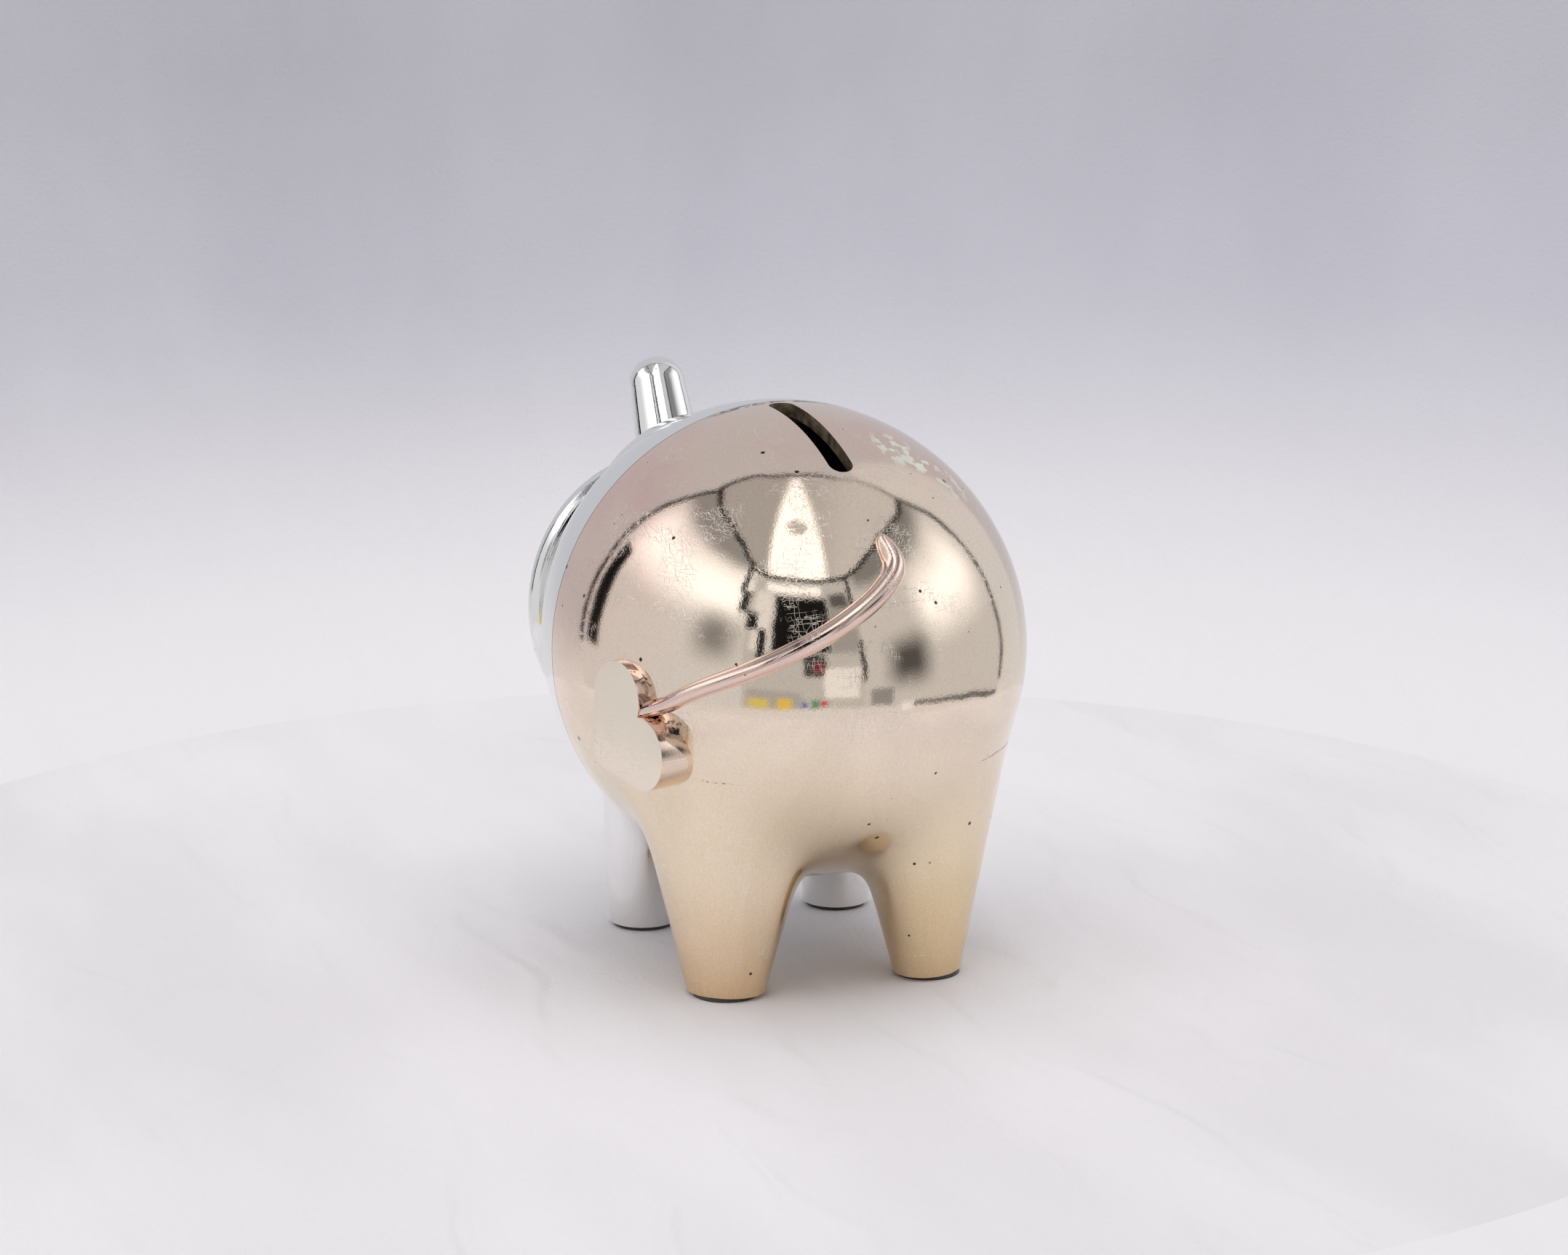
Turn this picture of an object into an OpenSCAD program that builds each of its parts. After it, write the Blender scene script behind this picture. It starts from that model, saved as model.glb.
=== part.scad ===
// Elephant money box: two hollow plated half shells joined round the middle,
// with cast legs, ears, trunk, tail and heart tassel, and a pull-out stopper
// under the belly. The head points along +X, and +Z is up. The origin is on
// the ground, below the middle of the whole animal.

/* [Body] */
// Radius of the round body, across the spine
body_r = 45; // [40:0.5:56]
// Half the length of the body, along the spine
body_half_len = 53; // [46:0.5:64]
// Height of the body's centre above the ground
body_up = 61.3; // [56:0.1:74]
// Thickness of the shells
wall = 2.5; // [2:0.1:3.2]
// Distance of the joint between the shells in front of the body's centre
seam_fwd = 2.7; // [1.5:0.1:6]

/* [Joint ring] */
// Reach of the joint ring behind the joint
ring_back = 2; // [1.5:0.1:3]
// Reach of the joint ring in front of the joint
ring_front = 6; // [3:0.5:8]
// Thickness of the joint ring
ring_t = 1.6; // [1.2:0.1:2.5]
// Gap between the joint ring and the shells
ring_gap = 0.05; // [0.02:0.01:0.1]

/* [Coin slot] */
// Length of the coin slot along the spine
slot_len = 30.4; // [24:0.5:33]
// Width of the coin slot
slot_w = 4.7; // [4.4:0.1:6]
// Angle between the coin slot and the body's length
slot_turn = 4.3; // [0:0.1:5]
// Metal left between the slot and the joint ring
slot_margin = 0.4; // [0.3:0.1:2]

/* [Head] */
// Radius of the head dome
head_r = 26; // [22:0.5:32]
// Distance of the head's centre in front of the body's centre
head_fwd = 38; // [34:0.5:46]
// Height of the head's centre above the body's centre
head_up = 11; // [8:0.5:14]
// Radius of an eye
eye_r = 2.3; // [1.8:0.1:3]
// Angle of an eye to the side of straight ahead
eye_side = 38; // [30:1:48]
// Angle of an eye above the head's centre
eye_lift = 22; // [10:1:35]

/* [Ears] */
// Radius of the round ear plates
ear_r = 30; // [26:0.5:34]
// Thickness of an ear plate
ear_t = 3.6; // [3:0.1:5]
// Thickness of the rounded rim of an ear
ear_rim_t = 6; // [5:0.5:8]
// Distance of an ear's outer edge from the middle of the animal
ear_reach = 38; // [34:0.5:44]
// Distance of the ears in front of the body's centre
ear_fwd = 40.5; // [37:0.5:50]
// Distance of the ears below the body's centre
ear_drop = 0.5; // [0:0.5:5]
// Least distance between an ear and the middle plane of the animal
ear_apart = 9; // [6:0.5:12]

/* [Trunk] */
// Distance of the centre of the trunk's tip in front of the body's centre
trunk_fwd = 74.5; // [66:0.5:88]
// Height of the trunk's tip above the body's centre
trunk_up = 42.5; // [36:0.5:50]
// Radius of the trunk where it leaves the face
trunk_root_r = 7.5; // [6:0.1:9]
// Radius of the trunk's rounded tip
trunk_tip_r = 5.7; // [4.5:0.1:6]
// Radius of the trunk's bend, along its middle
trunk_bend_r = 13; // [11:0.5:15]
// Length of the straight raised part of the trunk
trunk_len = 22; // [18:0.5:26]
// Forward lean of the raised part from upright
trunk_lean = 30; // [20:1:40]

/* [Legs] */
// Distance of the rear feet behind the body's centre
rear_foot_back = 24.4; // [22:0.1:28]
// Distance of the front feet in front of the body's centre
front_foot_fwd = 24.4; // [22:0.1:28]
// Distance of every foot from the middle of the animal
foot_side = 20.2; // [18:0.1:24]
// Radius of a rear foot
rear_foot_r = 6.8; // [5.5:0.1:8]
// Radius of a rear leg where it ends inside the flank
rear_thigh_r = 16.5; // [14:0.1:18]
// Height of the rear thigh above the ground
rear_thigh_up = 46; // [40:0.5:54]
// Inward lean of a rear leg, in degrees
rear_lean = 2.8; // [1:0.1:4]
// Radius of a front foot
front_foot_r = 6.5; // [5.5:0.1:8]
// Radius of a front leg where it ends inside the chest
front_thigh_r = 9; // [8:0.1:12]
// Height of the front thigh above the ground
front_thigh_up = 38; // [34:0.5:46]
// Thickness of the felt pad under each foot
pad_t = 0.8; // [0.5:0.1:2]
// Margin of metal round a pad
pad_margin = 0.7; // [0.4:0.1:1.5]

/* [Tail] */
// Width of the tail at its thickest
tail_w = 3.9; // [3:0.1:5]
// Height of the tail above the body
tail_h = 2.2; // [1.6:0.1:3]
// Width of the tail where it meets the heart
tail_end_w = 2.9; // [2:0.1:3.5]

/* [Heart tassel] */
// Distance of the heart's centre behind the body's centre
heart_back = 28.4; // [22:0.1:30]
// Distance of the heart's centre below the body's centre
heart_drop = 7.3; // [5:0.1:10]
// Height of the heart's face above the body at its centre
heart_proud = 2.9; // [1.4:0.1:4]
// Angle of the heart's face from straight back
heart_turn = 72; // [66:1:76]
// Tilt of the heart's notch from upright, towards the rear
heart_tilt = 53; // [40:1:65]
// Radius of a lobe of the heart
lobe_r = 6.8; // [5.5:0.1:8]
// Distance of a lobe's centre from the heart's middle
lobe_side = 5.8; // [5:0.1:7]
// Distance of the rounded tip's centre from the lobes' centres
heart_tip = 8.2; // [7:0.1:10]
// Radius of the heart's rounded tip
heart_tip_r = 4.6; // [3:0.1:5]

/* [Stopper] */
// Radius of the hole in the stopper's seat
seat_r = 14.6; // [13:0.1:15.5]
// Wall thickness of the stopper's seat
seat_t = 1.4; // [1:0.1:1.8]
// Height of the seat's lower rim above the lowest point of the belly
seat_rise = 4.3; // [4.2:0.1:4.8]
// Length of the seat
seat_len = 7; // [6:0.1:9]
// Gap between the stopper and its seat
stopper_gap = 0.06; // [0.02:0.01:0.1]
// Length of the stopper's plug
plug_len = 5.5; // [4:0.1:8]
// Thickness of the stopper's flange
flange_t = 1.8; // [1.2:0.1:2.4]
// Gap between the stopper's flange and the shells
flange_gap = 0.3; // [0.2:0.05:0.6]
// Height of the stopper's grip bar
grip_h = 2.3; // [1.5:0.1:3]
// Length of the stopper's grip bar
grip_len = 16; // [12:0.5:20]
// Thickness of the stopper's grip bar
grip_t = 3; // [2:0.1:4]

/* [Hidden] */

champagne = [0.80, 0.72, 0.62];
silver = [0.86, 0.87, 0.89];
round_fn = 96;
far = 200;                                    // longer than anything here

// The animal's middle lies above the origin, between rump and trunk.
nose_fwd = trunk_fwd + trunk_tip_r;
spine_x = (body_half_len - nose_fwd) / 2;
belly_z = body_up - body_r;
seat_z = belly_z + seat_rise;
plug_r = seat_r - stopper_gap;
slot_front = seam_fwd - ring_back - slot_margin;
slot_back = slot_front - slot_len;
trunk_sides = 32;
trunk_steps = 8;
trunk_tip_at = [trunk_fwd, 0, trunk_up - trunk_tip_r];
trunk_bend_centre = trunk_tip_at - trunk_len * [sin(trunk_lean), 0, cos(trunk_lean)]
    - trunk_bend_r * [cos(trunk_lean), 0, -sin(trunk_lean)];

// Heart's centre and the tail's route on the body, seen from behind: [to the left, up], in body radii.
// The tail's last points are set in mm from the heart's centre, so that it ends in the heart's notch.
heart_at = [sqrt(1 - pow(heart_back / body_half_len, 2) - pow(heart_drop / body_r, 2)), -heart_drop / body_r];
tail_route = concat([[-0.067, 0.61], [-0.1, 0.5], [-0.02, 0.41], [0.165, 0.293], [0.385, 0.177], [0.655, 0.035]],
                    [for (d = [[-2.5, 4.6], [0.2, 2.8]]) heart_at + d / body_r]);
tail_steps = 6;
heart_steps = 24;
heart_tip_steps = 8;
tail_sides = 8;
tail_gap = 0.1;                               // between the tail's flat back and the body
tail_point_part = 0.12;                       // share of the tail that tapers to its root

module at_body() translate([spine_x, 0, body_up]) children();

// Solid of the body's outline, grown or shrunk by g, round the X axis.
module body_solid(g = 0)
    rotate([0, 90, 0]) rotate_extrude($fn = round_fn)
        polygon([for (a = [-90:5:90]) [(body_r + g) * cos(a), (body_half_len + g) * sin(a)]]);

module head_solid(g = 0)
    translate([head_fwd, 0, head_up]) sphere(r = head_r + g, $fn = round_fn);

module slab_x(from, to) translate([from, -far / 2, -far / 2]) cube([to - from, far, far]);

module belly_hole(r) translate([0, 0, -far / 2]) cylinder(h = far / 2, r = r, $fn = round_fn);

module slot_cut() translate([(slot_back + slot_front) / 2, 0, 0]) rotate([0, 0, slot_turn]) {
    end = (slot_len - slot_w) / 2;
    translate([-end, -slot_w / 2, 0]) cube([end * 2, slot_w, far / 2]);
    for (x = [-end, end])
        translate([x, 0, 0]) cylinder(h = far / 2, r = slot_w / 2, $fn = 48);
}

module rear_shell() color(champagne) at_body() difference() {
    body_solid();
    body_solid(-wall);
    slab_x(seam_fwd, far / 2);
    slot_cut();
    belly_hole(seat_r + seat_t);
}

module front_shell() color(silver) at_body() difference() {
    union() {
        body_solid();
        head_solid();
    }
    body_solid(-wall);
    head_solid(-wall);
    slab_x(-far / 2, seam_fwd);
    belly_hole(seat_r + seat_t);
}

module joint_ring() color("dimgray") at_body() difference() {
    intersection() {
        body_solid(-wall - ring_gap);
        slab_x(seam_fwd - ring_back, seam_fwd + ring_front);
    }
    rotate([0, 90, 0]) cylinder(h = far, r = body_r - wall - ring_gap - ring_t, center = true, $fn = round_fn);
    belly_hole(seat_r + seat_t + ring_gap);
}

// A leg's whole cone, leaning in by lean degrees.
module leg_cone(x, y, r, thigh_r, thigh_up, lean)
    translate([spine_x + x, y, 0]) rotate([0, 0, atan2(y, x)]) rotate([0, -lean, 0])
        translate([0, 0, -pad_t]) cylinder(h = thigh_up + pad_t, r1 = r, r2 = thigh_r, $fn = round_fn);

// Cuts a leg's cone off above its pad and at the body.
module leg() difference() {
    children();
    translate([-far / 2, -far / 2, pad_t - far]) cube([far, far, far]);
    at_body() body_solid();
    at_body() head_solid();
}

module rear_leg_cone(side)
    leg_cone(-rear_foot_back, side * foot_side, rear_foot_r, rear_thigh_r, rear_thigh_up, rear_lean);

module rear_leg(side) color(champagne) leg() rear_leg_cone(side);

module front_leg(side) color(silver)
    leg() leg_cone(front_foot_fwd, side * foot_side, front_foot_r, front_thigh_r, front_thigh_up, 0);

module pad(x, y, r) color("black")
    translate([spine_x + x, y, 0]) cylinder(h = pad_t, r = r - pad_margin, $fn = 48);

module rear_pad(side) pad(-rear_foot_back, side * foot_side, rear_foot_r);

module front_pad(side) pad(front_foot_fwd, side * foot_side, front_foot_r);

module ear(side) color(silver) at_body() difference() {
    translate([ear_fwd, side * (ear_reach - ear_r), -ear_drop]) rotate([0, 90, 0])
        rotate_extrude($fn = round_fn) {
            translate([0, -ear_t / 2]) square([ear_r - ear_rim_t / 2, ear_t]);
            translate([ear_r - ear_rim_t / 2, 0]) circle(d = ear_rim_t, $fn = 32);
        }
    body_solid();
    head_solid();
    translate([0, -side * far / 2 + side * ear_apart, 0]) cube([far, far, far], center = true);
}

// A domed button with its flat back on the head.
module eye(side) color("black") at_body()
    translate([head_fwd, 0, head_up]) rotate([0, -eye_lift, side * eye_side]) difference() {
        translate([head_r, 0, 0]) sphere(r = eye_r, $fn = 32);
        slab_x(0, head_r);
    }

// Closed skin over a row of rings that all have the same number of points.
module loft(rings) {
    n = len(rings[0]);
    last = len(rings) - 1;
    points = [for (ring = rings) each ring];
    skin = [for (k = [0:last - 1]) for (j = [0:n - 1]) let (m = (j + 1) % n)
        each [[k * n + j, k * n + m, (k + 1) * n + m], [k * n + j, (k + 1) * n + m, (k + 1) * n + j]]];
    polyhedron(points, concat(skin, [[for (j = [n - 1:-1:0]) j], [for (j = [0:n - 1]) last * n + j]]));
}

// One round section of the trunk, at angle a round its bend and then e straight on.
function trunk_ring(a, e, r) =
    let (out = [cos(a), 0, sin(a)], onwards = [-sin(a), 0, cos(a)],
         p = trunk_bend_centre + out * trunk_bend_r + onwards * e)
    [for (j = [0:trunk_sides - 1]) let (b = 360 * j / trunk_sides) p + r * (out * cos(b) - [0, 1, 0] * sin(b))];

module trunk() color(silver) at_body() difference() {
    bend = [for (i = [0:trunk_steps - 1]) trunk_ring(-90 + (90 - trunk_lean) * i / trunk_steps, 0, trunk_root_r)];
    raised = [trunk_ring(-trunk_lean, 0, trunk_root_r)];
    tip = [for (i = [0:trunk_steps - 1]) let (b = 90 * i / trunk_steps)
        trunk_ring(-trunk_lean, trunk_len + trunk_tip_r * sin(b), trunk_tip_r * cos(b))];
    loft(concat(bend, raised, tip));
    body_solid();
    head_solid();
}

// Point between b and c on a smooth curve through a, b, c and d, with t from 0 to 1.
function smooth(a, b, c, d, t) =
    b + (c - a) * t / 2 + (2 * a - 5 * b + 4 * c - d) * t * t / 2 + (3 * b - a - 3 * c + d) * t * t * t / 2;
function route_at(i, t) = let (p = tail_route, n = len(p) - 1)
    smooth(p[max(i - 1, 0)], p[i], p[i + 1], p[min(i + 2, n)], t);

// Point of the body's rear surface that is y to the left and z up, both in body radii.
function on_rump(q) = [-body_half_len * sqrt(1 - q[0] * q[0] - q[1] * q[1]), body_r * q[0], body_r * q[1]];
function unit(v) = v / norm(v);
function rump_normal(p) = unit([p[0] / pow(body_half_len, 2), p[1] / pow(body_r, 2), p[2] / pow(body_r, 2)]);

tail_line = [for (i = [0:len(tail_route) - 2]) for (s = [0:tail_steps - 1]) on_rump(route_at(i, s / tail_steps))];
tail_last = len(tail_line) - 1;

function tail_half_w(u) = (tail_w + (tail_end_w - tail_w) * u) / 2 * max(0.12, sin(90 * min(1, u / tail_point_part)));

// One half-round section of the tail: flat towards the body, round outwards.
function tail_ring(k) = let (p = tail_line[k], n = rump_normal(p),
                             along = unit(tail_line[min(k + 1, tail_last)] - tail_line[max(k - 1, 0)]),
                             across = unit(cross(n, along)), w = tail_half_w(k / tail_last),
                             h = tail_h * w / (tail_w / 2))
    [for (j = [0:tail_sides]) let (a = 180 * j / tail_sides)
        p + across * w * cos(a) + n * (tail_gap + h * sin(a))];

module tail() color(champagne) at_body() difference() {
    loft([for (k = [0:tail_last]) tail_ring(k)]);
    heart_block(tail_h);
}

// Heart outline: half of the rounded tip, then a lobe's arc up to the notch, and both mirrored.
module heart_outline() {
    from = atan2(heart_tip, lobe_side) - acos((heart_tip_r - lobe_r) / norm([lobe_side, heart_tip]));
    lobe_step = (acos(-lobe_side / lobe_r) - from) / heart_steps;
    tip_step = (from + 90) / heart_tip_steps;
    half = concat([for (i = [0:heart_tip_steps]) let (a = tip_step * i - 90)
                       heart_tip_r * [cos(a), sin(a)] - [0, heart_tip]],
                  [for (i = [0:heart_steps]) let (a = from + lobe_step * i) lobe_r * [cos(a), sin(a)] + [lobe_side, 0]]);
    last = len(half) - 1;
    polygon(concat(half, [for (i = [last - 1:-1:1]) [-half[i][0], half[i][1]]]));
}

// Heart's solid, with room above its face if above is given.
module heart_block(above = 0)
    translate([-heart_back, body_r * heart_at[0] + heart_proud, -heart_drop]) rotate([90, 0, 90 - heart_turn])
        translate([0, 0, -above]) linear_extrude(height = lobe_r * 2 + above)
            rotate([0, 0, heart_tilt]) heart_outline();

module heart_tassel() color(champagne) difference() {
    at_body() heart_block();
    at_body() body_solid();
    rear_leg_cone(1);
}

module stopper_seat() color("silver") translate([spine_x, 0, seat_z]) difference() {
    cylinder(h = seat_len, r = seat_r + seat_t, $fn = round_fn);
    translate([0, 0, -1]) cylinder(h = seat_len + 2, r = seat_r, $fn = round_fn);
}

module stopper() color([0.08, 0.08, 0.08]) translate([spine_x, 0, seat_z]) {
    cylinder(h = plug_len, r = plug_r, $fn = round_fn);
    translate([0, 0, -flange_t]) cylinder(h = flange_t, r = seat_r + seat_t - flange_gap, $fn = round_fn);
    translate([-grip_len / 2, -grip_t / 2, -flange_t - grip_h]) cube([grip_len, grip_t, grip_h]);
}

rear_shell();
front_shell();
joint_ring();
rear_leg(1);  // rear_left_leg
rear_leg(-1);  // rear_right_leg
front_leg(1);  // front_left_leg
front_leg(-1);  // front_right_leg
rear_pad(1);  // rear_left_pad
rear_pad(-1);  // rear_right_pad
front_pad(1);  // front_left_pad
front_pad(-1);  // front_right_pad
ear(1);  // left_ear
ear(-1);  // right_ear
eye(1);  // left_eye
eye(-1);  // right_eye
trunk();
tail();
heart_tassel();
stopper_seat();
stopper();
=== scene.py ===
import bpy
import bmesh
import math
import numpy as np
from mathutils import Matrix, Vector


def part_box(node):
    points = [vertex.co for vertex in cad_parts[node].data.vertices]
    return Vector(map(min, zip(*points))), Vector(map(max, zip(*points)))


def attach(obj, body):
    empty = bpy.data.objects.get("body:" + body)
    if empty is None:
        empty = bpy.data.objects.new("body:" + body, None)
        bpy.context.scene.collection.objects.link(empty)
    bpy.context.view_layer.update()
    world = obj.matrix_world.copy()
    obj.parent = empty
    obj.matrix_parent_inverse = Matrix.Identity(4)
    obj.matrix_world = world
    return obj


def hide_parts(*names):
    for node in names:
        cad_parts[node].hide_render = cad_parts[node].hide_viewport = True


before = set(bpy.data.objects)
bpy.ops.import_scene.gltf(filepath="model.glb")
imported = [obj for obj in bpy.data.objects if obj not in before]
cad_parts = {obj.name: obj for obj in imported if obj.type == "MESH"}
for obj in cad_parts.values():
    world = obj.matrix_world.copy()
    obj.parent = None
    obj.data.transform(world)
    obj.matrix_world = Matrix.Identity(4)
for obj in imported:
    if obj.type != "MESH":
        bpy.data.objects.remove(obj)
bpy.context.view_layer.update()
mm = 0.001


def dropSelection():
    if bpy.context.object and bpy.context.object.mode != "OBJECT":
        bpy.ops.object.mode_set(mode="OBJECT")
    bpy.ops.object.select_all(action="DESELECT")


def pick(*pieces):
    dropSelection()
    for piece in pieces:
        piece.select_set(True)
    bpy.context.view_layer.objects.active = pieces[0]
    return pieces[0]


def modify(piece, kind, **settings):
    pick(piece)
    modifier = piece.modifiers.new(kind.title(), kind)
    for key, value in settings.items():
        setattr(modifier, key, value)
    bpy.ops.object.modifier_apply(modifier=modifier.name)


# the place of the piece goes into its mesh
def bake(piece, name):
    pick(piece)
    bpy.ops.object.transform_apply(location=True, rotation=True, scale=True)
    piece.name = name
    piece.data.name = name
    return piece


def join(name, *pieces):
    pick(*pieces)
    bpy.ops.object.join()
    pieces[0].name = name
    return pieces[0]


# what lies on the side that normal points to goes
def cutPlane(piece, point, normal, fill=True):
    pick(piece)
    bpy.ops.object.mode_set(mode="EDIT")
    bpy.ops.mesh.select_all(action="SELECT")
    bpy.ops.mesh.bisect(plane_co=point, plane_no=normal, use_fill=fill, clear_outer=True, threshold=1e-6)
    bpy.ops.object.mode_set(mode="OBJECT")


def turnOutwards(piece, merge=1e-6):
    pick(piece)
    bpy.ops.object.mode_set(mode="EDIT")
    bpy.ops.mesh.select_all(action="SELECT")
    bpy.ops.mesh.remove_doubles(threshold=merge)
    bpy.ops.mesh.normals_make_consistent(inside=False)
    bpy.ops.object.mode_set(mode="OBJECT")


def smoothShade(piece, degrees=35):
    pick(piece)
    bpy.ops.object.shade_smooth_by_angle(angle=math.radians(degrees))


def points(piece):
    flat = np.zeros(len(piece.data.vertices) * 3)
    piece.data.vertices.foreach_get("co", flat)
    return flat.reshape(-1, 3)


def setPoints(piece, places):
    piece.data.vertices.foreach_set("co", np.asarray(places, np.float32).ravel())
    piece.data.update()


def finishPiece(piece, bodyName, slotName, *nodes):
    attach(piece, bodyName)
    if nodes:
        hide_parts(*nodes)
    return piece


def middle(node):
    low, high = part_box(node)
    return (low + high) / 2


body = {"radius": 45 * mm, "halfLength": 53 * mm, "wall": 2.5 * mm, "voxel": 0.8 * mm,
        "seamGap": 0.1 * mm, "legBlend": 8 * mm, "capBlend": 16 * mm,
        "endsIn": 1 * mm}  # how deep ears, trunk and heart end in the wall
head = {"radius": 26 * mm, "forward": 38 * mm, "up": 11 * mm, "blend": 9 * mm}
rearLeg = {"across": 5.9 * mm, "along": 7.3 * mm, "acrossGrow": 0.22, "alongGrow": 0.27,
           "lean": 0.045, "top": 44 * mm}
frontLeg = {"across": 6.4 * mm, "along": 6.5 * mm, "acrossGrow": 0.07, "alongGrow": 0.07,
            "lean": 0.0, "top": 34 * mm}

rearLow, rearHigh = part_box("rear_shell")
bodyCentre = Vector((rearLow.x + body["halfLength"], 0, rearHigh.z - body["radius"]))
seamX = rearHigh.x
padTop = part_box("rear_left_pad")[1].z
headCentre = bodyCentre + Vector((head["forward"], 0, head["up"]))


def softMin(a, b, k):
    h = np.maximum(k - np.abs(a - b), 0) / k
    return np.minimum(a, b) - h ** 3 * k / 6


def softMax(a, b, k):
    return -softMin(-a, -b, k)


# distance to the egg of the body
def bodyForm(p, grow=0.0):
    sizes = np.array([body["halfLength"], body["radius"], body["radius"]]) + grow
    q = p - np.array(bodyCentre)
    k1 = np.linalg.norm(q / sizes, axis=1)
    k2 = np.linalg.norm(q / sizes ** 2, axis=1)
    return k1 * (k1 - 1) / np.maximum(k2, 1e-9)


def legForm(p, foot, leg):
    outward = np.array([foot.x - bodyCentre.x, foot.y])
    outward /= np.linalg.norm(outward)
    q = p[:, :2] - np.array([foot.x, foot.y])
    z = p[:, 2]
    u = q @ outward + leg["lean"] * z
    v = q @ np.array([-outward[1], outward[0]])
    ru = leg["across"] + leg["acrossGrow"] * z
    rv = leg["along"] + leg["alongGrow"] * z
    side = (np.sqrt((u / ru) ** 2 + (v / rv) ** 2) - 1) * np.minimum(ru, rv)
    return softMax(side, z - leg["top"], body["capBlend"])


legs = [(middle(f"{end}_{side}_pad"), leg) for end, leg in (("rear", rearLeg), ("front", frontLeg))
        for side in ("left", "right")]


# distance to the outside of the whole casting: body, head dome and four legs, melted together
def animalForm(p):
    f = bodyForm(p)
    f = softMin(f, np.linalg.norm(p - np.array(headCentre), axis=1) - head["radius"], head["blend"])
    for foot, leg in legs:
        f = softMin(f, legForm(p, foot, leg), body["legBlend"])
    return f


def rawSlope(form, p, step=1e-5):
    return np.stack([(form(p + step * axis) - form(p - step * axis)) / (2 * step)
                     for axis in np.eye(3)], 1)


# every point of the piece moves straight onto the form
def settle(piece, form, rounds=8, longest=1.5 * mm):
    p = points(piece)
    for _ in range(rounds):
        f = form(p)
        slope = rawSlope(form, p)
        move = -f[:, None] * slope / np.maximum((slope ** 2).sum(1), 1e-6)[:, None]
        reach = np.linalg.norm(move, axis=1)
        p += move * np.minimum(1, longest / np.maximum(reach, 1e-12))[:, None]
    setPoints(piece, p)


def egg(name, grow=0.0):
    bpy.ops.mesh.primitive_uv_sphere_add(segments=96, ring_count=48, radius=1,
                                         location=bodyCentre, rotation=(0, math.pi / 2, 0))
    piece = bpy.context.object
    piece.scale = (body["radius"] + grow, body["radius"] + grow, body["halfLength"] + grow)
    return bake(piece, name)


# egg, head and legs as plain solids, made one closed skin, then settled on the smooth form
def roughAnimal():
    rough = [egg("rough")]
    bpy.ops.mesh.primitive_uv_sphere_add(segments=64, ring_count=32, radius=head["radius"],
                                         location=headCentre)
    rough.append(bake(bpy.context.object, "roughHead"))
    for foot, leg in legs:
        bottom, top = -4 * mm, leg["top"]
        wide = [(leg["across"] + leg["along"]) / 2 + z * leg["alongGrow"] for z in (bottom, top)]
        bpy.ops.mesh.primitive_cone_add(vertices=48, radius1=wide[0], radius2=wide[1], depth=top - bottom,
                                        location=(foot.x, foot.y, (top + bottom) / 2))
        rough.append(bake(bpy.context.object, "roughLeg"))
    piece = join("animal", *rough)
    modify(piece, "REMESH", mode="VOXEL", voxel_size=body["voxel"], adaptivity=0)
    settle(piece, animalForm)
    return piece


# joins the outer and the inner skin along their two open rims
def bridgeRims(piece):
    pick(piece)
    bpy.ops.object.mode_set(mode="EDIT")
    bpy.ops.mesh.select_mode(type="EDGE")
    bpy.ops.mesh.select_all(action="DESELECT")
    bpy.ops.mesh.select_non_manifold(extend=False, use_wire=False, use_boundary=True,
                                     use_multi_face=False, use_non_contiguous=False, use_verts=False)
    bpy.ops.mesh.bridge_edge_loops()
    bpy.ops.object.mode_set(mode="OBJECT")


# one half of the hollow animal; side is -1 for the rear and 1 for the front
def halfShell(whole, name, side):
    pick(whole)
    bpy.ops.object.duplicate()
    outer = bpy.context.object
    seam = (seamX + side * body["seamGap"], 0, 0)
    cutPlane(outer, (0, 0, padTop), (0, 0, -1))
    cutPlane(outer, seam, (-side, 0, 0), fill=False)
    inner = egg("inner", -body["wall"])
    cutPlane(inner, seam, (-side, 0, 0), fill=False)
    pick(inner)
    bpy.ops.object.mode_set(mode="EDIT")
    bpy.ops.mesh.select_all(action="SELECT")
    bpy.ops.mesh.flip_normals()
    bpy.ops.object.mode_set(mode="OBJECT")
    piece = join(name, outer, inner)
    bridgeRims(piece)
    return piece


coinSlot = {"width": 4.7 * mm, "length": 30.4 * mm, "behindSeam": 2.4 * mm, "turn": math.radians(4.3),
            "roundness": 0.96}


def slotCutter():
    front = seamX - coinSlot["behindSeam"]
    bpy.ops.mesh.primitive_cube_add(size=1, rotation=(0, 0, coinSlot["turn"]),
                                    location=(front - coinSlot["length"] / 2, 0,
                                              bodyCentre.z + body["radius"]))
    cutter = bpy.context.object
    cutter.scale = (coinSlot["length"], coinSlot["width"], body["radius"])
    bake(cutter, "slotCutter")
    pick(cutter)
    bpy.ops.object.mode_set(mode="EDIT")
    bpy.ops.mesh.select_mode(type="EDGE")
    bpy.ops.mesh.select_all(action="DESELECT")
    mesh = bmesh.from_edit_mesh(cutter.data)
    for edge in mesh.edges:
        low, high = (vert.co.z for vert in edge.verts)
        edge.select = abs(high - low) > body["radius"] / 2
    bmesh.update_edit_mesh(cutter.data)
    bpy.ops.mesh.bevel(offset=coinSlot["width"] / 2 * coinSlot["roundness"], segments=8, affect="EDGES")
    bpy.ops.object.mode_set(mode="OBJECT")
    return cutter


def bellyCutter():
    low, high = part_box("stopper_seat")
    bpy.ops.mesh.primitive_cylinder_add(vertices=128, radius=(high.x - low.x) / 2, depth=30 * mm,
                                        location=((low.x + high.x) / 2, 0, bodyCentre.z - body["radius"]))
    return bake(bpy.context.object, "bellyCutter")


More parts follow.
